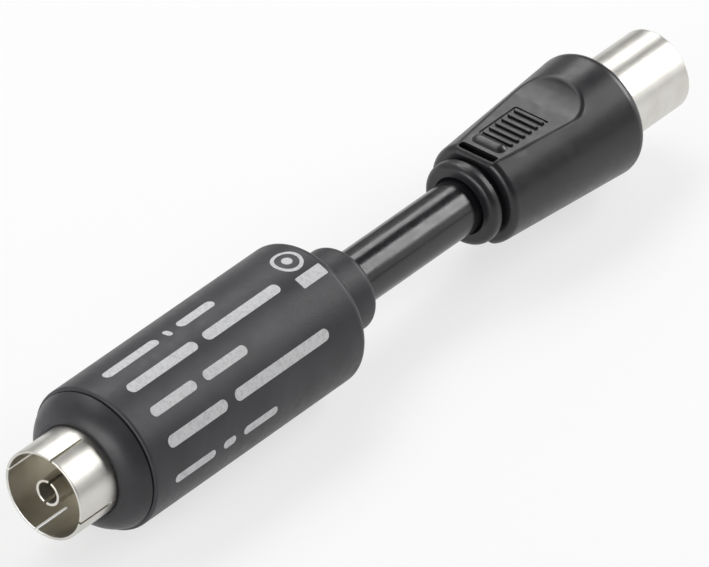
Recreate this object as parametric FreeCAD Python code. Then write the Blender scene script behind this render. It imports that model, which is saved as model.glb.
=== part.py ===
import FreeCAD, Part
import math
import os

# Ground loop isolator for an aerial lead: a barrel with a push-fit aerial socket, a short coaxial lead, and a
# moulded plug of the matching size. Millimetres. The parts share one axis along X, with the socket at -X.
# X counts from the socket's rim while the pieces are made, and the finished pieces are moved to the part's origin,
# which is on the floor under the middle of the part.

# Socket: a thin slotted tube round a split contact
mating_diameter = 9.5
socket_play = 0.1
socket_wall = 0.35
socket_reach = 5.6
socket_depth = 10.2
socket_rim_round = 0.12
slot_count = 4
slot_width = 0.3
slot_length = 4.8
slot_turn = 13.0
flange_width = 1.1
flange_thickness = 1.0
socket_tail = 2.3
socket_lip = 0.8
disc_thickness = 3.0
contact_bore = 2.4
contact_wall = 0.35
contact_setback = 0.6
contact_end = 0.6
contact_slit_width = 0.34
contact_slit_length = 4.5
contact_stem_diameter = 2.2
tab_width = 1.2
tab_thickness = 0.6
tab_length = 4.0

# Barrel: a sleeve with a collar at its rear, and a domed cap in its mouth
sleeve_diameter = 16.5
sleeve_wall = 1.5
sleeve_length = 33.65
sleeve_rear_wall = 2.0
sleeve_mouth_round = 0.3
sleeve_rear_round = 0.9
collar_wall = 1.75
collar_length = 5.9
collar_round = 0.9
collar_root_round = 0.25
cap_reach = 2.5
cap_step = 0.35
cap_nose = 0.55
cap_crown = 0.36
cap_spigot = 3.0
cap_bore_chamfer = 0.2
seam_width = 0.22
seam_depth = 0.4

# Circuit board and the parts on it
board_thickness = 1.0
board_side_clearance = 0.5
board_tongue_clearance = 0.05
board_end_gap = 0.7
part_clearance = 0.3
wire_diameter = 0.5
wire_stub = 0.5
signal_capacitor_diameter = 5.0
shield_capacitor_diameter = 3.8
capacitor_thickness = 2.0
capacitor_edge = 0.5
resistor_diameter = 1.8
resistor_length = 3.6
resistor_bulge = 0.9
resistor_waist_depth = 0.15
resistor_wire_reach = 1.2
arrester_length = 5.2
arrester_cap = 0.9
arrester_cap_step = 0.15

# Lead: a conductor in a dielectric, a braid and a jacket
lead_diameter = 6.2
braid_diameter = 4.6
dielectric_diameter = 3.7
conductor_diameter = 0.8
lead_exposed = 18.85
ferrite_share = 0.545
ferrite_clearance = 0.45
ferrite_bore_clearance = 0.3
ferrite_edge = 0.4
ferrite_front_gap = 0.5
ferrule_wall = 0.5
ferrule_length = 3.5
dielectric_strip = 1.2

# Plug: a flared moulding with a bead and a groove at the lead, and a thumb grip above and below
bead_length = 1.5
bead_diameter = 9.7
bead_round = 0.75
bead_front_round = 0.3
lead_entry_chamfer = 0.3
groove_length = 0.75
groove_depth = 0.75
plug_rear_diameter = 11.6
plug_front_diameter = 14.6
plug_length = 20.6
plug_rear_round = 0.8
plug_front_round = 1.3
grip_height = 5.25
grip_flat_length = 11.7
grip_runout_radius = 4.6
grip_edge_round = 0.8
window_back = 0.95
window_length = 1.0
window_width = 4.9
window_depth = 1.3
window_round = 0.3
hump_back = 2.85
hump_radius = 1.0
hump_rise = 0.5
hump_width = 4.6
rib_count = 6
rib_back = 4.2
rib_pitch = 1.04
rib_thickness = 0.5
rib_width = 4.0
rib_rise = 0.3
rib_round = 0.12
recess_depth = 0.15
recess_margin = 0.3

# Plug's metal: a plain tube round a pin
male_reach = 10.15
male_wall = 0.5
male_depth = 10.4
male_rim_round = 0.18
male_embed = 10.85
male_embed_step = 0.2
male_lip = 1.1
male_lip_thickness = 1.0
male_disc_thickness = 4.0
pin_diameter = 2.35
pin_seat_diameter = 3.0
pin_setback = 0.1
pin_tip_round = 0.8
pin_tail = 3.0
cup_depth = 4.0
plug_ferrule_length = 5.0
plug_flange_thickness = 1.5
plug_dielectric_strip = 1.0

# Worked out: stations along the axis, counted from the socket's rim
cap_face_x = socket_reach
mouth_x = cap_face_x + cap_reach
sleeve_rear_x = mouth_x + sleeve_length
collar_end_x = sleeve_rear_x + collar_length
bead_face_x = collar_end_x + lead_exposed
groove_x = bead_face_x + bead_length
plug_rear_x = groove_x + groove_length
plug_front_x = plug_rear_x + plug_length
overall_length = plug_front_x + male_reach

# Worked out: radii
socket_bore_radius = mating_diameter / 2 + socket_play / 2
socket_radius = socket_bore_radius + socket_wall
sleeve_radius = sleeve_diameter / 2
sleeve_bore_radius = sleeve_radius - sleeve_wall
lead_radius = lead_diameter / 2
braid_radius = braid_diameter / 2
dielectric_radius = dielectric_diameter / 2
conductor_radius = conductor_diameter / 2
collar_radius = lead_radius + collar_wall
contact_radius = contact_bore / 2 + contact_wall
ferrule_radius = braid_radius + ferrule_wall
male_radius = mating_diameter / 2
male_bore_radius = male_radius - male_wall
male_embed_radius = male_radius - male_embed_step
wire_radius = wire_diameter / 2

# Worked out: places inside the barrel
flange_x = mouth_x + cap_spigot
disc_back_x = socket_depth + disc_thickness
socket_tail_x = disc_back_x + socket_tail
tail_bore_radius = socket_bore_radius - socket_lip
tab_end_x = disc_back_x + tab_length
signal_capacitor_x = tab_end_x + part_clearance + signal_capacitor_diameter / 2
arrester_x = signal_capacitor_x + arrester_length / 2 - arrester_cap / 2
arrester_end_x = arrester_x + arrester_length / 2
sleeve_floor_x = sleeve_rear_x - sleeve_rear_wall
length_to_share = sleeve_floor_x - arrester_end_x - ferrule_length - ferrite_front_gap
ferrite_length = ferrite_share * length_to_share
ferrite_x = sleeve_floor_x - ferrite_length
jacket_start_x = ferrite_x - ferrite_front_gap
braid_start_x = jacket_start_x - ferrule_length
dielectric_start_x = braid_start_x - dielectric_strip
board_top = -conductor_radius
board_bottom = board_top - board_thickness
conductor_start_x = signal_capacitor_x + signal_capacitor_diameter / 2 + part_clearance
board_end_x = jacket_start_x - board_end_gap
board_half_width = math.sqrt(sleeve_bore_radius ** 2 - board_bottom ** 2) - board_side_clearance
tongue_half_width = math.sqrt(tail_bore_radius ** 2 - board_bottom ** 2) - board_tongue_clearance
shield_capacitor_x = socket_tail_x + part_clearance + shield_capacitor_diameter / 2
shield_capacitor_top = board_top + part_clearance + shield_capacitor_diameter
shield_capacitor_reach = math.sqrt(sleeve_bore_radius ** 2 - shield_capacitor_top ** 2) - part_clearance
side_part_y = shield_capacitor_reach - capacitor_thickness / 2
resistor_radius = resistor_diameter / 2
resistor_x = socket_tail_x + part_clearance + resistor_radius
resistor_z = board_bottom - part_clearance - resistor_radius
arrester_radius = (sleeve_bore_radius + board_bottom - wire_stub - 2 * part_clearance) / 2
arrester_z = -sleeve_bore_radius + part_clearance + arrester_radius

# Worked out: places inside the plug
braid_end_x = plug_front_x - male_embed + plug_flange_thickness
male_back_x = plug_front_x - male_embed
plug_ferrule_x = braid_end_x - plug_ferrule_length
dielectric_end_x = braid_end_x + plug_dielectric_strip
male_disc_face_x = overall_length - male_depth
male_disc_back_x = male_disc_face_x - male_disc_thickness
pin_back_x = male_disc_back_x - pin_tail
conductor_end_x = pin_back_x + cup_depth

X_AXIS = FreeCAD.Vector(1, 0, 0)
Y_AXIS = FreeCAD.Vector(0, 1, 0)
Z_AXIS = FreeCAD.Vector(0, 0, 1)
AXIS_POINT = FreeCAD.Vector(0, 0, 0)


def at(x, y, z):
    return FreeCAD.Vector(x, y, z)


def rounded_wire(corners):
    """A closed outline in the XZ plane. A corner is (x, z), or (x, z, radius) where it is rounded."""
    points = [at(c[0], 0, c[1]) for c in corners]
    edges = []
    starts = []
    ends = []
    for i, corner in enumerate(corners):
        here = points[i]
        radius = corner[2] if len(corner) > 2 else 0
        to_last = (points[i - 1] - here).normalize()
        to_next = (points[(i + 1) % len(points)] - here).normalize()
        if radius == 0:
            ends.append(here)
            starts.append(here)
            continue
        half_angle = to_last.getAngle(to_next) / 2
        back = radius / math.tan(half_angle)
        middle = (to_last + to_next).normalize()
        centre = here + middle * (radius / math.sin(half_angle))
        ends.append(here + to_last * back)
        starts.append(here + to_next * back)
        edges.append(Part.Arc(ends[i], centre - middle * radius, starts[i]).toShape())
    for i in range(len(points)):
        following = (i + 1) % len(points)
        if (ends[following] - starts[i]).Length > 1e-6:
            edges.append(Part.LineSegment(starts[i], ends[following]).toShape())
    return Part.Wire(Part.__sortEdges__(edges))


def turned(corners):
    """Turns an outline of (x, radius) corners about the part's axis."""
    return Part.Face(rounded_wire(corners)).revolve(AXIS_POINT, X_AXIS, 360)


def tube(x_start, x_end, inner, outer):
    return turned([(x_start, inner), (x_end, inner), (x_end, outer), (x_start, outer)])


def eased_tube(x_start, x_end, inner, outer, ease):
    """A tube with its four edges cut back at 45 degrees."""
    return turned([
        (x_start, inner + ease), (x_start + ease, inner), (x_end - ease, inner), (x_end, inner + ease),
        (x_end, outer - ease), (x_end - ease, outer), (x_start + ease, outer), (x_start, outer - ease)])


def rod(x_start, x_end, radius):
    return Part.makeCylinder(radius, x_end - x_start, at(x_start, 0, 0), X_AXIS)


def block(x_start, x_end, half_width, z_low, z_high):
    size = (x_end - x_start, 2 * half_width, z_high - z_low)
    return Part.makeBox(*size, at(x_start, -half_width, z_low))


def half_turned(shape):
    """The same shape turned half round the part's axis."""
    copy = shape.copy()
    copy.rotate(AXIS_POINT, X_AXIS, 180)
    return copy


# Socket

def radial_slot(width, length, inner, outer):
    """A slot that opens at x = 0 and has a round end, above the axis from one radius to another."""
    straight = block(-1, length - width / 2, width / 2, inner, outer)
    end = Part.makeCylinder(width / 2, outer - inner, at(length - width / 2, 0, inner), Z_AXIS)
    return straight.fuse(end)


def make_female_shell():
    flange_radius = socket_radius + flange_width
    shell = turned([
        (0, socket_bore_radius, socket_rim_round), (disc_back_x, socket_bore_radius),
        (disc_back_x, tail_bore_radius), (socket_tail_x, tail_bore_radius),
        (socket_tail_x, socket_radius), (flange_x + flange_thickness, socket_radius),
        (flange_x + flange_thickness, flange_radius), (flange_x, flange_radius),
        (flange_x, socket_radius), (0, socket_radius, socket_rim_round)])
    slot = radial_slot(slot_width, slot_length, contact_radius, socket_radius + 1)
    for i in range(slot_count):
        cutter = slot.copy()
        cutter.rotate(AXIS_POINT, X_AXIS, slot_turn + i * 360 / slot_count)
        shell = shell.cut(cutter)
    return shell


def make_female_insulator():
    return tube(socket_depth, disc_back_x, contact_stem_diameter / 2, socket_bore_radius)


def make_female_contact():
    bore_radius = contact_bore / 2
    mouth_round = contact_wall / 3
    stem_radius = contact_stem_diameter / 2
    contact = turned([
        (contact_setback, bore_radius, mouth_round), (socket_depth - contact_end, bore_radius),
        (socket_depth - contact_end, 0), (disc_back_x, 0), (disc_back_x, stem_radius),
        (socket_depth, stem_radius), (socket_depth, contact_radius),
        (contact_setback, contact_radius, mouth_round)])
    slit = block(0, contact_setback + contact_slit_length, contact_slit_width / 2,
                 -contact_radius - 1, contact_radius + 1)
    slit.rotate(AXIS_POINT, X_AXIS, slot_turn)
    tab = block(disc_back_x, disc_back_x + tab_length, tab_width / 2, board_top, board_top + tab_thickness)
    return contact.cut(slit).fuse(tab).removeSplitter()


# Barrel

def make_barrel_sleeve():
    return turned([
        (mouth_x, sleeve_bore_radius), (sleeve_floor_x, sleeve_bore_radius),
        (sleeve_floor_x, lead_radius), (collar_end_x, lead_radius),
        (collar_end_x, collar_radius, collar_round), (sleeve_rear_x, collar_radius, collar_root_round),
        (sleeve_rear_x, sleeve_radius, sleeve_rear_round), (mouth_x, sleeve_radius, sleeve_mouth_round)])


def make_front_cap():
    """A domed ring with a spigot that fills the sleeve's mouth and a narrow groove where the two meet."""
    nose_radius = socket_radius + cap_nose
    rim_radius = sleeve_radius - cap_step
    nose = at(cap_face_x, 0, nose_radius)
    rim = at(mouth_x - seam_width, 0, rim_radius)
    chord = rim - nose
    outward = at(-chord.z, 0, chord.x).normalize()
    crown = (nose + rim) * 0.5 + outward * cap_crown
    line_corners = [
        rim, at(mouth_x - seam_width, 0, rim_radius - seam_depth), at(mouth_x, 0, rim_radius - seam_depth),
        at(mouth_x, 0, sleeve_bore_radius), at(flange_x, 0, sleeve_bore_radius), at(flange_x, 0, socket_radius),
        at(cap_face_x + cap_bore_chamfer, 0, socket_radius),
        at(cap_face_x, 0, socket_radius + cap_bore_chamfer), nose]
    edges = [Part.LineSegment(a, b).toShape() for a, b in zip(line_corners, line_corners[1:])]
    edges.append(Part.Arc(nose, crown, rim).toShape())
    face = Part.Face(Part.Wire(Part.__sortEdges__(edges)))
    return face.revolve(AXIS_POINT, X_AXIS, 360)


# Circuit board and the parts on it

def leg(x, y, z_low, z_high):
    """A straight wire of a part on the board."""
    return Part.makeCylinder(wire_radius, z_high - z_low, at(x, y, z_low), Z_AXIS)


def capacitor(x, y, radius):
    """A ceramic disc that stands on its two legs, with eased edges."""
    centre_z = board_top + part_clearance + radius
    half = capacitor_thickness / 2
    disc = Part.makeCylinder(radius, capacitor_thickness, at(x, y - half, centre_z), Y_AXIS)
    disc = disc.makeChamfer(capacitor_edge, disc.Edges)
    for side in (-1, 1):
        disc = disc.fuse(leg(x + side * radius / 2, y, board_bottom - wire_stub, centre_z - radius / 2))
    return disc.removeSplitter()


def make_signal_capacitor():
    return capacitor(signal_capacitor_x, 0, signal_capacitor_diameter / 2)


def make_shield_capacitors():
    radius = shield_capacitor_diameter / 2
    pair = [capacitor(shield_capacitor_x, side * side_part_y, radius) for side in (-1, 1)]
    return Part.makeCompound(pair)


def make_bleed_resistor():
    """A body with a bulge at each end, across the board's underside, on a wire turned up at both ends."""
    half = resistor_length / 2
    bulge_start = half - resistor_bulge
    waist_end = bulge_start - resistor_waist_depth
    shoulder = half - resistor_waist_depth
    waist = resistor_radius - resistor_waist_depth
    body = turned([
        (-half, 0), (half, 0), (half, waist), (shoulder, resistor_radius), (bulge_start, resistor_radius),
        (waist_end, waist), (-waist_end, waist), (-bulge_start, resistor_radius), (-shoulder, resistor_radius),
        (-half, waist)])
    body.rotate(AXIS_POINT, Z_AXIS, 90)
    body.translate(at(resistor_x, 0, resistor_z))
    reach = half + resistor_wire_reach
    body = body.fuse(Part.makeCylinder(wire_radius, 2 * reach, at(resistor_x, -reach, resistor_z), Y_AXIS))
    for y in (-reach, reach):
        body = body.fuse(leg(resistor_x, y, resistor_z, board_top))
        body = body.fuse(Part.makeSphere(wire_radius, at(resistor_x, y, resistor_z)))
    return body.removeSplitter()


def make_surge_arrester():
    """A ceramic tube between two metal ends, under the board, with a leg from each end up through the board."""
    start_x = arrester_x - arrester_length / 2
    end_x = arrester_x + arrester_length / 2
    body_radius = arrester_radius - arrester_cap_step
    body = turned([
        (start_x, 0), (end_x, 0), (end_x, arrester_radius), (end_x - arrester_cap, arrester_radius),
        (end_x - arrester_cap, body_radius), (start_x + arrester_cap, body_radius),
        (start_x + arrester_cap, arrester_radius), (start_x, arrester_radius)])
    body.translate(at(0, 0, arrester_z))
    for x in (start_x + arrester_cap / 2, end_x - arrester_cap / 2):
        body = body.fuse(leg(x, 0, arrester_z, board_top))
    return body.removeSplitter()


def make_circuit_board(mounted_parts):
    """A strip with a tongue in the socket's tail and a fork round the lead's ferrule, drilled for each leg."""
    tongue = block(disc_back_x + part_clearance, socket_tail_x, tongue_half_width, board_bottom, board_top)
    strip = block(socket_tail_x, board_end_x, board_half_width, board_bottom, board_top)
    fork = block(dielectric_start_x - part_clearance, board_end_x + 1, ferrule_radius, board_bottom - 1, board_top + 1)
    board = tongue.fuse(strip).cut(fork)
    for part in mounted_parts:
        board = board.cut(part)
    return board.removeSplitter()


# Lead

def make_lead_jacket():
    return tube(jacket_start_x, plug_ferrule_x, braid_radius, lead_radius)


def make_lead_braid():
    return tube(braid_start_x, braid_end_x, dielectric_radius, braid_radius)


def make_lead_dielectric():
    return tube(dielectric_start_x, dielectric_end_x, conductor_radius, dielectric_radius)


def make_lead_conductor():
    return rod(conductor_start_x, conductor_end_x, conductor_radius)


def make_barrel_ferrule():
    return tube(braid_start_x, jacket_start_x, braid_radius, ferrule_radius)


def make_ferrite_core():
    """A ring with play round the lead, so that it hangs on it by the top of its bore."""
    bore_radius = lead_radius + ferrite_bore_clearance
    ring = eased_tube(ferrite_x, sleeve_floor_x, bore_radius, sleeve_bore_radius - ferrite_clearance, ferrite_edge)
    ring.translate(at(0, 0, -ferrite_bore_clearance))
    return ring


# Plug

def make_plug_ferrule():
    """A crimped sleeve on the braid, with a flange that fills the back of the plug's tube."""
    return turned([
        (plug_ferrule_x, braid_radius), (braid_end_x, braid_radius), (braid_end_x, male_bore_radius),
        (male_back_x, male_bore_radius), (male_back_x, ferrule_radius), (plug_ferrule_x, ferrule_radius)])


def plug_radius(x):
    """The radius of the plug's flared side."""
    share = (x - plug_rear_x) / plug_length
    return (plug_rear_diameter + share * (plug_front_diameter - plug_rear_diameter)) / 2


def rounded_bar(x, length, width, z_low, z_high, radius):
    """An upright bar that is long across the part, with rounded upright edges."""
    bar = block(x - length / 2, x + length / 2, width / 2, z_low, z_high)
    upright = [e for e in bar.Edges if abs(e.Vertexes[0].Z - e.Vertexes[-1].Z) > 1e-6]
    return bar.makeFillet(radius, upright)


def grip_cutter():
    """What the thumb grip takes away: a flat that runs out of the flared side in a hollow curve."""
    top = plug_front_diameter
    flat_end_x = plug_rear_x + grip_flat_length
    centre_z = grip_height + grip_runout_radius
    turn = math.radians(45)
    middle = at(flat_end_x + grip_runout_radius * math.sin(turn), 0, centre_z - grip_runout_radius * math.cos(turn))
    corners = [
        at(flat_end_x + grip_runout_radius, 0, centre_z), at(flat_end_x + grip_runout_radius, 0, top),
        at(plug_rear_x, 0, top), at(plug_rear_x, 0, grip_height), at(flat_end_x, 0, grip_height)]
    edges = [Part.LineSegment(a, b).toShape() for a, b in zip(corners, corners[1:])]
    edges.append(Part.Arc(corners[-1], middle, corners[0]).toShape())
    side = Part.Face(Part.Wire(Part.__sortEdges__(edges)))
    side.translate(at(0, -top, 0))
    return side.extrude(at(0, 2 * top, 0))


def grip_recess():
    """The shallow recess that the ribs stand in."""
    first = plug_rear_x + rib_back - rib_thickness / 2 - recess_margin
    last = plug_rear_x + rib_back + (rib_count - 1) * rib_pitch + rib_thickness / 2 + recess_margin
    return rounded_bar((first + last) / 2, last - first, rib_width + 2 * recess_margin,
                       grip_height - recess_depth, grip_height + 1, recess_margin)


def grip_window():
    """The narrow window behind the grip."""
    return rounded_bar(plug_rear_x + window_back, window_length, window_width,
                       grip_height - window_depth, grip_height + 1, window_round)


def grip_hump():
    """The low rounded hump between the window and the ribs."""
    centre_z = grip_height + hump_rise - hump_radius
    half = hump_width / 2 - hump_radius
    x = plug_rear_x + hump_back
    hump = Part.makeCylinder(hump_radius, 2 * half, at(x, -half, centre_z), Y_AXIS)
    for side in (-1, 1):
        hump = hump.fuse(Part.makeSphere(hump_radius, at(x, side * half, centre_z)))
    return hump


def grip_rib(index):
    """One rib, with its top edge eased."""
    floor = grip_height - recess_depth
    x = plug_rear_x + rib_back + index * rib_pitch
    rib = rounded_bar(x, rib_thickness, rib_width, floor - 0.2, floor + rib_rise, rib_thickness * 0.4)
    top = [e for e in rib.Edges if min(v.Z for v in e.Vertexes) > floor + rib_rise - 1e-6]
    return rib.makeFillet(rib_round, top)


def borders_grip(edge):
    """Whether an edge of the cut body lies between a thumb grip and the flared side."""
    middle = edge.valueAt((edge.FirstParameter + edge.LastParameter) / 2)
    free_form = not isinstance(edge.Curve, (Part.Line, Part.Circle))
    on_side = abs(math.hypot(middle.y, middle.z) - plug_radius(middle.x)) < 1e-3
    return free_form and on_side and abs(middle.z) > grip_height - 1e-6


def make_plug_body():
    """The moulding round the lead, the ferrule and the tube."""
    groove_radius = bead_diameter / 2 - groove_depth
    body = turned([
        (bead_face_x, 0), (plug_front_x, 0), (plug_front_x, plug_front_diameter / 2, plug_front_round),
        (plug_rear_x, plug_rear_diameter / 2, plug_rear_round), (plug_rear_x, groove_radius),
        (groove_x, groove_radius), (groove_x, bead_diameter / 2, bead_front_round),
        (bead_face_x, bead_diameter / 2, bead_round)])
    body = body.cut(grip_cutter()).cut(half_turned(grip_cutter()))
    borders = [e for e in body.Edges if borders_grip(e)]
    body = body.makeFillet(grip_edge_round, borders)
    for cutter in (grip_recess(), grip_window()):
        body = body.cut(cutter).cut(half_turned(cutter))
    for piece in [grip_hump()] + [grip_rib(i) for i in range(rib_count)]:
        body = body.fuse(piece).fuse(half_turned(piece))
    entry = turned([
        (bead_face_x, 0), (bead_face_x + lead_entry_chamfer, 0),
        (bead_face_x + lead_entry_chamfer, lead_radius), (bead_face_x, lead_radius + lead_entry_chamfer)])
    hollow = rod(bead_face_x, plug_ferrule_x, lead_radius)
    hollow = hollow.fuse(rod(plug_ferrule_x, male_back_x, ferrule_radius))
    hollow = hollow.fuse(rod(male_back_x, plug_front_x, male_embed_radius))
    return body.cut(hollow.fuse(entry)).removeSplitter()


def make_male_shell():
    """A plain tube, a little narrower where the moulding holds it, with a lip inside behind the disc."""
    lip_radius = male_bore_radius - male_lip
    lip_x = male_disc_back_x - male_lip_thickness
    return turned([
        (male_back_x, male_bore_radius), (lip_x, male_bore_radius), (lip_x, lip_radius),
        (male_disc_back_x, lip_radius), (male_disc_back_x, male_bore_radius),
        (overall_length, male_bore_radius, male_rim_round), (overall_length, male_radius, male_rim_round),
        (plug_front_x, male_radius), (plug_front_x, male_embed_radius), (male_back_x, male_embed_radius)])


def make_male_insulator():
    return tube(male_disc_back_x, male_disc_face_x, pin_seat_diameter / 2, male_bore_radius)


def make_male_pin():
    """A round-nosed pin on a thicker seat, with a cup in its back for the lead's conductor."""
    radius = pin_diameter / 2
    seat_radius = pin_seat_diameter / 2
    return turned([
        (pin_back_x, conductor_radius), (conductor_end_x, conductor_radius), (conductor_end_x, 0),
        (overall_length - pin_setback, 0), (overall_length - pin_setback, radius, pin_tip_round),
        (male_disc_face_x, radius), (male_disc_face_x, seat_radius), (pin_back_x, seat_radius)])


def make_pieces():
    on_board = {
        "signal_capacitor": make_signal_capacitor(),
        "shield_capacitors": make_shield_capacitors(),
        "bleed_resistor": make_bleed_resistor(),
        "surge_arrester": make_surge_arrester(),
    }
    return {
        "female_shell": make_female_shell(),
        "female_insulator": make_female_insulator(),
        "female_contact": make_female_contact(),
        "front_cap": make_front_cap(),
        "barrel_sleeve": make_barrel_sleeve(),
        "circuit_board": make_circuit_board(on_board.values()),
        **on_board,
        "ferrite_core": make_ferrite_core(),
        "barrel_ferrule": make_barrel_ferrule(),
        "lead_jacket": make_lead_jacket(),
        "lead_braid": make_lead_braid(),
        "lead_dielectric": make_lead_dielectric(),
        "lead_conductor": make_lead_conductor(),
        "plug_ferrule": make_plug_ferrule(),
        "plug_body": make_plug_body(),
        "male_shell": make_male_shell(),
        "male_insulator": make_male_insulator(),
        "male_pin": make_male_pin(),
    }


def main():
    os.makedirs("parts", exist_ok=True)
    axis_height = max(sleeve_radius, plug_front_diameter / 2)
    to_origin = at(-overall_length / 2, 0, axis_height)
    for name, shape in make_pieces().items():
        shape.translate(to_origin)
        shape.exportStep("parts/" + name + ".step")
        print(name, len(shape.Solids), shape.isValid(), round(shape.Volume, 2))


main()
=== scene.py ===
"""Looks of the ground loop isolator: finishes for its moulded, metal and inner pieces, the print on its
barrel, and a pale studio to show it in. Lengths are in metres. One written in millimetres is times MM."""

import math

import bmesh
import bpy
from mathutils import Matrix, Vector


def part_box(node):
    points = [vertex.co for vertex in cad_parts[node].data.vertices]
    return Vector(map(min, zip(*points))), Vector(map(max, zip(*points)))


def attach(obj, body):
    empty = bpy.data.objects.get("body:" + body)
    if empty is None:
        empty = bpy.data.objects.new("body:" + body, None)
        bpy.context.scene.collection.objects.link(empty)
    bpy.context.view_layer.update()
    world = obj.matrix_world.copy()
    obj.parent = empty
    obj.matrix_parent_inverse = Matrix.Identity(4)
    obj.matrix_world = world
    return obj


MM = 0.001

# View of the photograph: a long lens, far away, aimed near the middle of the object's axis
photo_width_px = 709
focal_length_px = 12469.7
sensor_width_mm = 36.0
view_azimuth = math.radians(-50.161)
view_elevation = math.radians(35.658)
view_distance = 1.3
aim_right = -0.209 * MM
aim_up = -0.651 * MM

# Studio: white paper that shines in part by itself, and an even light from all round
floor_size = 8.0
paper_grey = 0.91
paper_roughness = 0.6
paper_gloss = 0.2
glow_white = 0.94
glow_share = 0.72
surround_light = 0.12

# Lamps: turn is the angle from the top of the object's axis towards the viewer, lean the share of the
# distance that lies along that axis, towards the plug, and size the length along the axis and round it.
# The side and low lamps light the flanks towards the viewer, the strip lamp the tops and the plug's grip,
# the back lamp the far edges, the crest lamp the rounds that lean towards the socket, and the front lamp
# the inside of the socket.
softboxes = {
    "side_softbox": {"turn": 33, "lean": 0.795, "distance": 0.9, "size": (0.5, 0.52), "radiance": 7.6},
    "low_softbox": {"turn": 70, "lean": 0.79, "distance": 0.95, "size": (0.5, 0.4), "radiance": 1.2},
    "strip_softbox": {"turn": -35, "lean": 0.36, "distance": 0.76, "size": (0.65, 0.3), "radiance": 4.5},
    "back_softbox": {"turn": -62, "lean": -0.1, "distance": 1.0, "size": (2.0, 0.6), "radiance": 0.5},
    "crest_softbox": {"turn": -28, "lean": -0.25, "distance": 0.9, "size": (0.46, 0.3), "radiance": 3.2},
    "front_softbox": {"turn": -10, "lean": -0.975, "distance": 0.8, "size": (0.32, 0.66), "radiance": 6.8},
}

# Finishes: most of a noise lies between its low and high value, and gloss strays by its spread to either side
noise_low = 0.3
noise_high = 0.7
gloss_spread = 0.05

# Print on the barrel: places are behind the sleeve's mouth, and angles from the top towards the viewer. A row
# has its letters' height and its words' lengths in millimetres, and a bar fills a share of that height.
ink_thickness = 0.014 * MM
ink_bite = 0.02 * MM
print_start = 3.0 * MM
word_gap = 1.3 * MM
bar_share = 0.56
print_rows = [
    {"angle": -9, "height": 2.2, "words": [8.3, 0.7, 5.5]},
    {"angle": 14, "height": 2.3, "words": [10.6, 11.8]},
    {"angle": 38, "height": 2.1, "words": [6.9, 6.7]},
    {"angle": 63, "height": 2.4, "words": [9.2, 14.8]},
    {"angle": 93, "height": 1.8, "words": [6.3, 1.9, 5.3]},
]
ring_place = 30.4 * MM
ring_angle = 0
ring_radius = 1.75 * MM
ring_line = 0.42 * MM
dot_radius = 0.6 * MM
block_place = 28.8 * MM
block_angle = 22
block_length = 3.8 * MM
block_height = 1.5 * MM
block_corner = 0.15 * MM
flat_steps = 5
corner_steps = 6
ring_steps = 64
weld_distance = 1e-7


# Shader helpers

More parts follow.
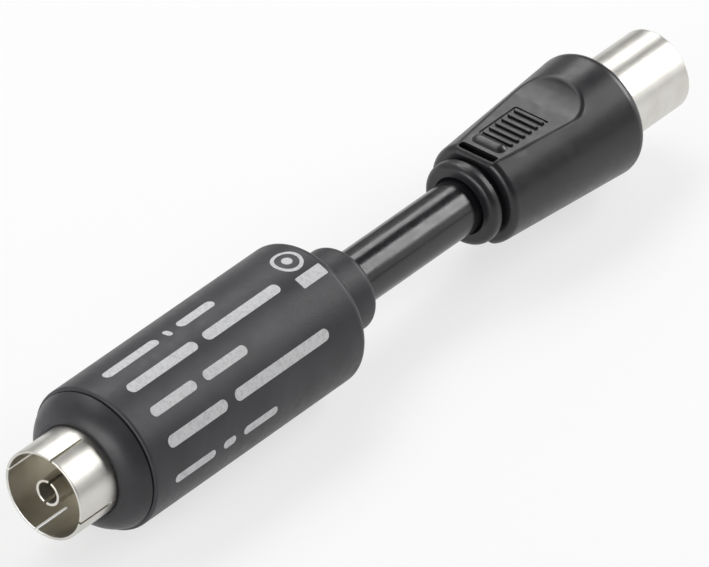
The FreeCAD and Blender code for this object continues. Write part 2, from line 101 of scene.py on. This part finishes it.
class Shader:
    """A material under construction: its node tree, and the Principled shader that it ends in."""

    def __init__(self, name, colour, roughness, metallic=0.0, specular=0.5):
        self.material = bpy.data.materials.new(name)
        self.material.use_nodes = True
        self.material.diffuse_color = (*colour, 1.0)
        tree = self.material.node_tree
        self.nodes = tree.nodes
        self.links = tree.links
        self.surface = self.nodes["Principled BSDF"]
        self.surface.inputs["Base Color"].default_value = (*colour, 1.0)
        self.surface.inputs["Roughness"].default_value = roughness
        self.surface.inputs["Metallic"].default_value = metallic
        self.surface.inputs["Specular IOR Level"].default_value = specular
        self.place = self.nodes.new("ShaderNodeTexCoord").outputs["Object"]

    def scaled_place(self, x, y, z, turned=(0.0, 0.0, 0.0)):
        """Object coordinates in millimetres, times a factor for each axis, and turned."""
        mapping = self.nodes.new("ShaderNodeMapping")
        mapping.inputs["Scale"].default_value = (x / MM, y / MM, z / MM)
        mapping.inputs["Rotation"].default_value = turned
        self.links.new(self.place, mapping.inputs["Vector"])
        return mapping.outputs["Vector"]

    def noise(self, per_mm, detail=3.0, roughness=0.5, stretch=(1.0, 1.0, 1.0)):
        """Cloudy noise with per_mm features in a millimetre. A stretch under 1 draws it out on that axis."""
        texture = self.nodes.new("ShaderNodeTexNoise")
        texture.inputs["Scale"].default_value = 1.0
        texture.inputs["Detail"].default_value = detail
        texture.inputs["Roughness"].default_value = roughness
        place = self.scaled_place(*(per_mm * share for share in stretch))
        self.links.new(place, texture.inputs["Vector"])
        return texture.outputs["Fac"]

    def remap(self, value, low=noise_low, high=noise_high, to_low=0.0, to_high=1.0):
        """Value mapped from low..high to to_low..to_high, and held there."""
        mapped = self.nodes.new("ShaderNodeMapRange")
        mapped.inputs["From Min"].default_value = low
        mapped.inputs["From Max"].default_value = high
        mapped.inputs["To Min"].default_value = to_low
        mapped.inputs["To Max"].default_value = to_high
        self.links.new(value, mapped.inputs["Value"])
        return mapped.outputs["Result"]

    def blend(self, amount, first, second):
        """A colour between two others."""
        mix = self.nodes.new("ShaderNodeMix")
        mix.data_type = "RGBA"
        for socket, colour in (("A", first), ("B", second)):
            target = next(i for i in mix.inputs if i.name == socket and i.type == "RGBA")
            target.default_value = (*colour, 1.0)
        factor = next(i for i in mix.inputs if i.name == "Factor" and i.type == "VALUE")
        self.links.new(amount, factor)
        return next(o for o in mix.outputs if o.type == "RGBA")

    def largest(self, first, second):
        """The larger of two values."""
        node = self.nodes.new("ShaderNodeMath")
        node.operation = "MAXIMUM"
        self.links.new(first, node.inputs[0])
        self.links.new(second, node.inputs[1])
        return node.outputs["Value"]

    def bump(self, height, depth, before=None):
        """Raises the surface by depth where height is 1, on top of the bump before it."""
        node = self.nodes.new("ShaderNodeBump")
        node.inputs["Strength"].default_value = 1.0
        node.inputs["Distance"].default_value = depth
        self.links.new(height, node.inputs["Height"])
        if before is not None:
            self.links.new(before, node.inputs["Normal"])
        return node.outputs["Normal"]

    def feed(self, socket, value):
        """Feeds a value to a socket of the Principled shader."""
        self.links.new(value, self.surface.inputs[socket])

    def feed_gloss(self, value, roughness):
        """Lets the roughness stray a little from its middle, by a noise."""
        rough = self.remap(value, to_low=roughness - gloss_spread, to_high=roughness + gloss_spread)
        self.feed("Roughness", rough)


def shade(colour, share, lift=0.0):
    """A colour made lighter or darker by a share, and lifted off black."""
    return tuple(channel * share + lift for channel in colour)


# Materials

def moulded_plastic(name, colour, roughness, grain_per_mm, grain_depth, specular):
    """Moulded plastic: a spark-eroded grain, faint flow clouds in its colour and in its gloss."""
    shader = Shader(name, colour, roughness, specular=specular)
    clouds = shader.remap(shader.noise(per_mm=0.22, detail=4.0))
    shader.feed("Base Color", shader.blend(clouds, shade(colour, 0.86), shade(colour, 1.18, lift=0.002)))
    shader.feed_gloss(shader.noise(per_mm=0.9, detail=5.0), roughness)
    grain = shader.noise(grain_per_mm, detail=2.0, roughness=0.6)
    shader.feed("Normal", shader.bump(grain, grain_depth))
    return shader.material


def plated_metal(name, colour, stain, roughness, turning_depth):
    """Bright plating over turned brass: fine rings round the axis, a faint stain, and scuffs that dull it."""
    shader = Shader(name, colour, roughness, metallic=1.0)
    cloud = shader.remap(shader.noise(per_mm=0.35, detail=4.0), low=0.35, high=0.75)
    shader.feed("Base Color", shader.blend(cloud, colour, stain))
    scuffs = shader.noise(per_mm=1.6, detail=5.0, roughness=0.65)
    dulled = shader.remap(scuffs, high=0.75, to_low=roughness - 0.02, to_high=roughness + 0.08)
    shader.feed("Roughness", dulled)
    turning = shader.noise(per_mm=7.0, detail=2.0, stretch=(1.0, 0.02, 0.02))
    shader.feed("Normal", shader.bump(turning, turning_depth))
    return shader.material


def cable_plastic(name, colour, roughness):
    """Extruded cable sheath: glossy, with faint waves and finer ripples along it."""
    shader = Shader(name, colour, roughness, specular=0.6)
    waves = shader.noise(per_mm=0.45, detail=2.0, stretch=(0.35, 1.0, 1.0))
    ripples = shader.noise(per_mm=5.0, detail=2.0, stretch=(0.3, 1.0, 1.0))
    wavy = shader.bump(waves, 0.03 * MM)
    shader.feed("Normal", shader.bump(ripples, 0.002 * MM, before=wavy))
    shader.feed_gloss(shader.noise(per_mm=0.8, detail=4.0), roughness)
    return shader.material


def natural_plastic(name, colour):
    """Unpigmented plastic that light passes into."""
    shader = Shader(name, colour, roughness=0.42)
    shader.surface.inputs["Subsurface Weight"].default_value = 0.3
    shader.surface.inputs["Subsurface Radius"].default_value = (1.0, 0.8, 0.6)
    shader.surface.inputs["Subsurface Scale"].default_value = 0.8 * MM
    red, green, blue = colour
    warmer = (red, green * 0.95, blue * 0.86)
    shader.feed("Base Color", shader.blend(shader.remap(shader.noise(per_mm=0.6)), colour, warmer))
    shader.feed("Normal", shader.bump(shader.noise(per_mm=6.0), 0.003 * MM))
    return shader.material


def dipped_ceramic(name, colour):
    """Lacquered or glazed body with a thick, slightly uneven coat."""
    shader = Shader(name, colour, roughness=0.28)
    shader.feed("Base Color", shader.blend(shader.noise(per_mm=0.8, detail=4.0), shade(colour, 0.8), colour))
    shader.feed("Normal", shader.bump(shader.noise(per_mm=1.4, detail=2.0), 0.05 * MM))
    return shader.material


def sintered_ferrite(name, colour):
    """Pressed and fired powder: dull dark grey with a sandy face."""
    shader = Shader(name, colour, roughness=0.5)
    shader.feed("Base Color", shader.blend(shader.noise(per_mm=3.0, detail=5.0), colour, shade(colour, 1.5)))
    shader.feed("Normal", shader.bump(shader.noise(per_mm=9.0), 0.01 * MM))
    return shader.material


def fibre_board(name, colour):
    """Glass-cloth board under solder mask: a weave that shows faintly through it."""
    shader = Shader(name, colour, roughness=0.35)
    weave = shader.nodes.new("ShaderNodeTexChecker")
    weave.inputs["Scale"].default_value = 1.0
    weave.inputs["Color1"].default_value = (0.0, 0.0, 0.0, 1.0)
    weave.inputs["Color2"].default_value = (1.0, 1.0, 1.0, 1.0)
    threads_per_mm = 2.2
    change_through = 0.01
    place = shader.scaled_place(threads_per_mm, threads_per_mm, change_through)
    shader.links.new(place, weave.inputs["Vector"])
    shader.feed("Base Color", shader.blend(weave.outputs["Fac"], colour, shade(colour, 1.25)))
    shader.feed("Normal", shader.bump(weave.outputs["Fac"], 0.004 * MM))
    return shader.material


def woven_braid(name, colour):
    """Fine wires that cross round the cable."""
    shader = Shader(name, colour, roughness=0.3, metallic=1.0)
    wire_height = 0.05 * MM
    wires = []
    for slant in (math.radians(35), math.radians(-35)):
        wave = shader.nodes.new("ShaderNodeTexWave")
        wave.bands_direction = "X"
        wave.inputs["Scale"].default_value = 0.6
        place = shader.scaled_place(1.0, 1.0, 1.0, turned=(0.0, slant, slant))
        shader.links.new(place, wave.inputs["Vector"])
        wires.append(wave.outputs["Fac"])
    first, second = wires
    shader.feed("Normal", shader.bump(second, wire_height, before=shader.bump(first, wire_height)))
    shader.feed("Base Color", shader.blend(first, shade(colour, 0.55), colour))
    return shader.material


def screen_ink(name, colour):
    """Pale ink, a little thin in places so that the plastic's grain shows in it."""
    shader = Shader(name, colour, roughness=0.6, specular=0.35)
    cover = shader.remap(shader.noise(per_mm=2.6, detail=4.0, roughness=0.7), high=0.55)
    shader.feed("Base Color", shader.blend(cover, shade(colour, 0.72), colour))
    shader.feed("Normal", shader.bump(shader.noise(per_mm=5.0, detail=2.0, roughness=0.6), 0.008 * MM))
    return shader.material


def barrel_plastic():
    """The sleeve: matte, with the deepest grain."""
    return moulded_plastic(
        "barrel_plastic", (0.038, 0.037, 0.041), roughness=0.42, grain_per_mm=5.5, grain_depth=0.012 * MM,
        specular=0.28)


def cap_plastic():
    """The front cap: a little smoother and darker than the sleeve."""
    return moulded_plastic(
        "cap_plastic", (0.033, 0.033, 0.036), roughness=0.38, grain_per_mm=6.0, grain_depth=0.008 * MM,
        specular=0.3)


def plug_pvc():
    """The plug: satin and almost without grain."""
    return moulded_plastic(
        "plug_pvc", (0.012, 0.012, 0.014), roughness=0.34, grain_per_mm=3.5, grain_depth=0.003 * MM,
        specular=0.5)


def finish_nodes(nodes):
    """Gives each piece of the frame its material."""
    nickel = plated_metal(
        "nickel", (0.69, 0.68, 0.64), stain=(0.60, 0.58, 0.53), roughness=0.31, turning_depth=0.0006 * MM)
    contact = plated_metal(
        "contact_nickel", (0.76, 0.74, 0.69), stain=(0.62, 0.58, 0.48), roughness=0.31,
        turning_depth=0.0012 * MM)
    tin = plated_metal(
        "crimp_tin", (0.66, 0.66, 0.64), stain=(0.52, 0.51, 0.48), roughness=0.34, turning_depth=0.002 * MM)
    copper = plated_metal(
        "conductor_copper", (0.78, 0.42, 0.26), stain=(0.60, 0.30, 0.17), roughness=0.32,
        turning_depth=0.001 * MM)
    materials = {
        "barrel_sleeve": barrel_plastic(),
        "front_cap": cap_plastic(),
        "plug_body": plug_pvc(),
        "lead_jacket": cable_plastic("lead_pvc", (0.010, 0.010, 0.012), roughness=0.21),
        "female_shell": nickel,
        "male_shell": nickel,
        "female_contact": contact,
        "male_pin": contact,
        "female_insulator": natural_plastic("disc_plastic", (0.78, 0.75, 0.66)),
        "male_insulator": natural_plastic("disc_plastic_front", (0.62, 0.60, 0.54)),
        "lead_dielectric": natural_plastic("core_plastic", (0.84, 0.84, 0.82)),
        "circuit_board": fibre_board("board", (0.06, 0.17, 0.05)),
        "signal_capacitor": dipped_ceramic("ceramic_tan", (0.52, 0.27, 0.08)),
        "shield_capacitors": dipped_ceramic("ceramic_blue", (0.06, 0.17, 0.42)),
        "bleed_resistor": dipped_ceramic("resistor_lacquer", (0.60, 0.46, 0.28)),
        "surge_arrester": dipped_ceramic("arrester_ceramic", (0.74, 0.73, 0.69)),
        "ferrite_core": sintered_ferrite("ferrite", (0.055, 0.055, 0.06)),
        "barrel_ferrule": tin,
        "plug_ferrule": tin,
        "lead_braid": woven_braid("braid_copper", (0.66, 0.50, 0.38)),
        "lead_conductor": copper,
    }
    for name, material in materials.items():
        mesh = nodes[name].data
        mesh.materials.clear()
        mesh.materials.append(material)


# Print

class Barrel:
    """The sleeve's outer surface, where the print lies."""

    def __init__(self):
        low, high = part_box("barrel_sleeve")
        self.mouth = low.x
        self.radius = (high.y - low.y) / 2
        self.axis_height = (low.z + high.z) / 2

    def ink_point(self, place, arc):
        """A point on the ink's face: arc is measured round the sleeve from its top towards the viewer."""
        turn = arc / self.radius
        radius = self.radius + ink_thickness
        return Vector((
            self.mouth + place,
            -radius * math.sin(turn),
            self.axis_height + radius * math.cos(turn)))

    def arc_to(self, angle):
        """The length round the sleeve from its top to an angle in degrees."""
        return math.radians(angle) * self.radius


def print_bar(mesh, barrel, start, length, angle, height, corner):
    """A bar with rounded corners, laid on the barrel along its axis, its middle at that angle."""
    middle = barrel.arc_to(angle)
    corner = min(corner, length / 2, height / 2)
    straight = height / 2 - corner
    flats = [straight * step / flat_steps for step in range(flat_steps)]
    quarter = [math.pi / 2 * step / corner_steps for step in range(corner_steps + 1)]
    rounds = [straight + corner * math.sin(turn) for turn in quarter]
    half = sorted(set(flats + rounds))
    rows = []
    for offset in [-value for value in reversed(half[1:])] + half:
        past = max(0.0, abs(offset) - straight)
        cut = corner - math.sqrt(max(0.0, corner * corner - past * past))
        rows.append([
            mesh.verts.new(barrel.ink_point(start + cut, middle + offset)),
            mesh.verts.new(barrel.ink_point(start + length - cut, middle + offset))])
    for first, second in zip(rows, rows[1:]):
        mesh.faces.new((first[0], first[1], second[1], second[0]))


def print_ring(mesh, barrel, place, angle, radius, line):
    """A ring laid on the barrel."""
    middle = barrel.arc_to(angle)
    turns = [2 * math.pi * step / ring_steps for step in range(ring_steps)]
    inner, outer = (
        [mesh.verts.new(barrel.ink_point(place + reach * math.cos(turn), middle + reach * math.sin(turn)))
         for turn in turns]
        for reach in (radius - line, radius))
    for step in range(ring_steps):
        after = (step + 1) % ring_steps
        mesh.faces.new((inner[step], outer[step], outer[after], inner[after]))


def print_words(mesh, barrel):
    """Rows of plain bars, one for each word."""
    for row in print_rows:
        height = row["height"] * MM * bar_share
        start = print_start
        for word in row["words"]:
            print_bar(mesh, barrel, start, word * MM, row["angle"], height, corner=height / 2)
            start += word * MM + word_gap


def print_sign(mesh, barrel):
    """A ring with a dot, and a block beside it."""
    print_ring(mesh, barrel, ring_place, ring_angle, ring_radius, ring_line)
    dot = 2 * dot_radius
    print_bar(mesh, barrel, ring_place - dot_radius, dot, ring_angle, dot, corner=dot_radius)
    print_bar(mesh, barrel, block_place, block_length, block_angle, block_height, corner=block_corner)


def sink_edges(mesh, barrel):
    """Gives the ink sides that reach a little way into the sleeve."""
    edges = [edge for edge in mesh.edges if edge.is_boundary]
    skirt = bmesh.ops.extrude_edge_only(mesh, edges=edges)["geom"]
    for vertex in (item for item in skirt if isinstance(item, bmesh.types.BMVert)):
        outward = Vector((0.0, vertex.co.y, vertex.co.z - barrel.axis_height))
        vertex.co -= outward.normalized() * (ink_thickness + ink_bite)


def make_print(barrel):
    """Fields of ink with no words or signs, where the real barrel is printed."""
    mesh = bmesh.new()
    print_words(mesh, barrel)
    print_sign(mesh, barrel)
    bmesh.ops.remove_doubles(mesh, verts=mesh.verts, dist=weld_distance)
    sink_edges(mesh, barrel)
    bmesh.ops.recalc_face_normals(mesh, faces=mesh.faces)
    data = bpy.data.meshes.new("barrel_print")
    mesh.to_mesh(data)
    mesh.free()
    ink = bpy.data.objects.new("barrel_print", data)
    bpy.context.scene.collection.objects.link(ink)
    data.materials.append(screen_ink("print_ink", (0.56, 0.56, 0.57)))
    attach(ink, "root")


# Studio

def make_floor():
    """White paper that shines in part by itself, to the eye and in reflections, so its shadow is faint."""
    bpy.ops.mesh.primitive_plane_add(size=floor_size)
    floor = bpy.context.object
    floor.name = "studio_floor"
    grey = (paper_grey, paper_grey, paper_grey)
    paper = Shader("studio_paper", grey, paper_roughness, specular=paper_gloss)
    glow = paper.nodes.new("ShaderNodeEmission")
    glow.inputs["Color"].default_value = (glow_white, glow_white, glow_white, 1.0)
    glow.inputs["Strength"].default_value = 1.0
    path = paper.nodes.new("ShaderNodeLightPath")
    seen = paper.largest(path.outputs["Is Camera Ray"], path.outputs["Is Glossy Ray"])
    seen = paper.largest(seen, path.outputs["Is Transmission Ray"])
    both = paper.nodes.new("ShaderNodeMixShader")
    paper.links.new(paper.remap(seen, low=0.0, high=1.0, to_high=glow_share), both.inputs["Fac"])
    paper.links.new(paper.surface.outputs["BSDF"], both.inputs[1])
    paper.links.new(glow.outputs["Emission"], both.inputs[2])
    paper.links.new(both.outputs["Shader"], paper.nodes["Material Output"].inputs["Surface"])
    floor.data.materials.append(paper.material)


def make_softbox(target, name, turn, lean, distance, size, radiance):
    """A rectangular soft lamp that faces the object's axis. Radiance is how bright its face looks."""
    data = bpy.data.lights.new(name, "AREA")
    data.shape = "RECTANGLE"
    data.size, data.size_y = size
    data.energy = radiance * math.pi * size[0] * size[1]
    lamp = bpy.data.objects.new(name, data)
    bpy.context.scene.collection.objects.link(lamp)
    around = math.sqrt(1.0 - lean * lean)
    angle = math.radians(turn)
    back = Vector((lean, -around * math.sin(angle), around * math.cos(angle)))
    height_axis = Vector((0.0, -math.cos(angle), -math.sin(angle)))
    width_axis = height_axis.cross(back)
    lamp.location = target + back * distance
    lamp.rotation_euler = Matrix((width_axis, height_axis, back)).transposed().to_euler()


def make_lights(target):
    """The lamps, and a white world that lights weakly from all round."""
    for name, softbox in softboxes.items():
        make_softbox(target, name, **softbox)
    world = bpy.data.worlds.new("studio_surround")
    world.use_nodes = True
    surround = world.node_tree.nodes["Background"]
    surround.inputs["Color"].default_value = (1.0, 1.0, 1.0, 1.0)
    surround.inputs["Strength"].default_value = surround_light
    bpy.context.scene.world = world


def make_camera(target):
    """The photograph's view."""
    right = Vector((math.cos(view_azimuth), math.sin(view_azimuth), 0.0))
    back = Vector((
        math.sin(view_azimuth) * math.cos(view_elevation),
        -math.cos(view_azimuth) * math.cos(view_elevation),
        math.sin(view_elevation)))
    up = back.cross(right)
    aim = target + right * aim_right + up * aim_up
    data = bpy.data.cameras.new("photo_camera")
    data.sensor_width = sensor_width_mm
    data.lens = focal_length_px * sensor_width_mm / photo_width_px
    camera = bpy.data.objects.new("photo_camera", data)
    bpy.context.scene.collection.objects.link(camera)
    camera.location = aim + back * view_distance
    camera.rotation_euler = back.to_track_quat("Z", "Y").to_euler()
    bpy.context.scene.camera = camera


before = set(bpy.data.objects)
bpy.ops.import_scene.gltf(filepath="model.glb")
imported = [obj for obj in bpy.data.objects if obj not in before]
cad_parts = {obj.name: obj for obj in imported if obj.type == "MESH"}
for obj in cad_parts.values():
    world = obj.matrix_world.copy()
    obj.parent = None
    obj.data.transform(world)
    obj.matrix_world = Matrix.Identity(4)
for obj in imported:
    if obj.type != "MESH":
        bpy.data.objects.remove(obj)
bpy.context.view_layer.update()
bpy.context.scene.view_settings.view_transform = "Standard"
barrel = Barrel()
axis_middle = Vector((0, 0, barrel.axis_height))
make_camera(axis_middle)
make_lights(axis_middle)
make_floor()
finish_nodes(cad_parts)
make_print(barrel)
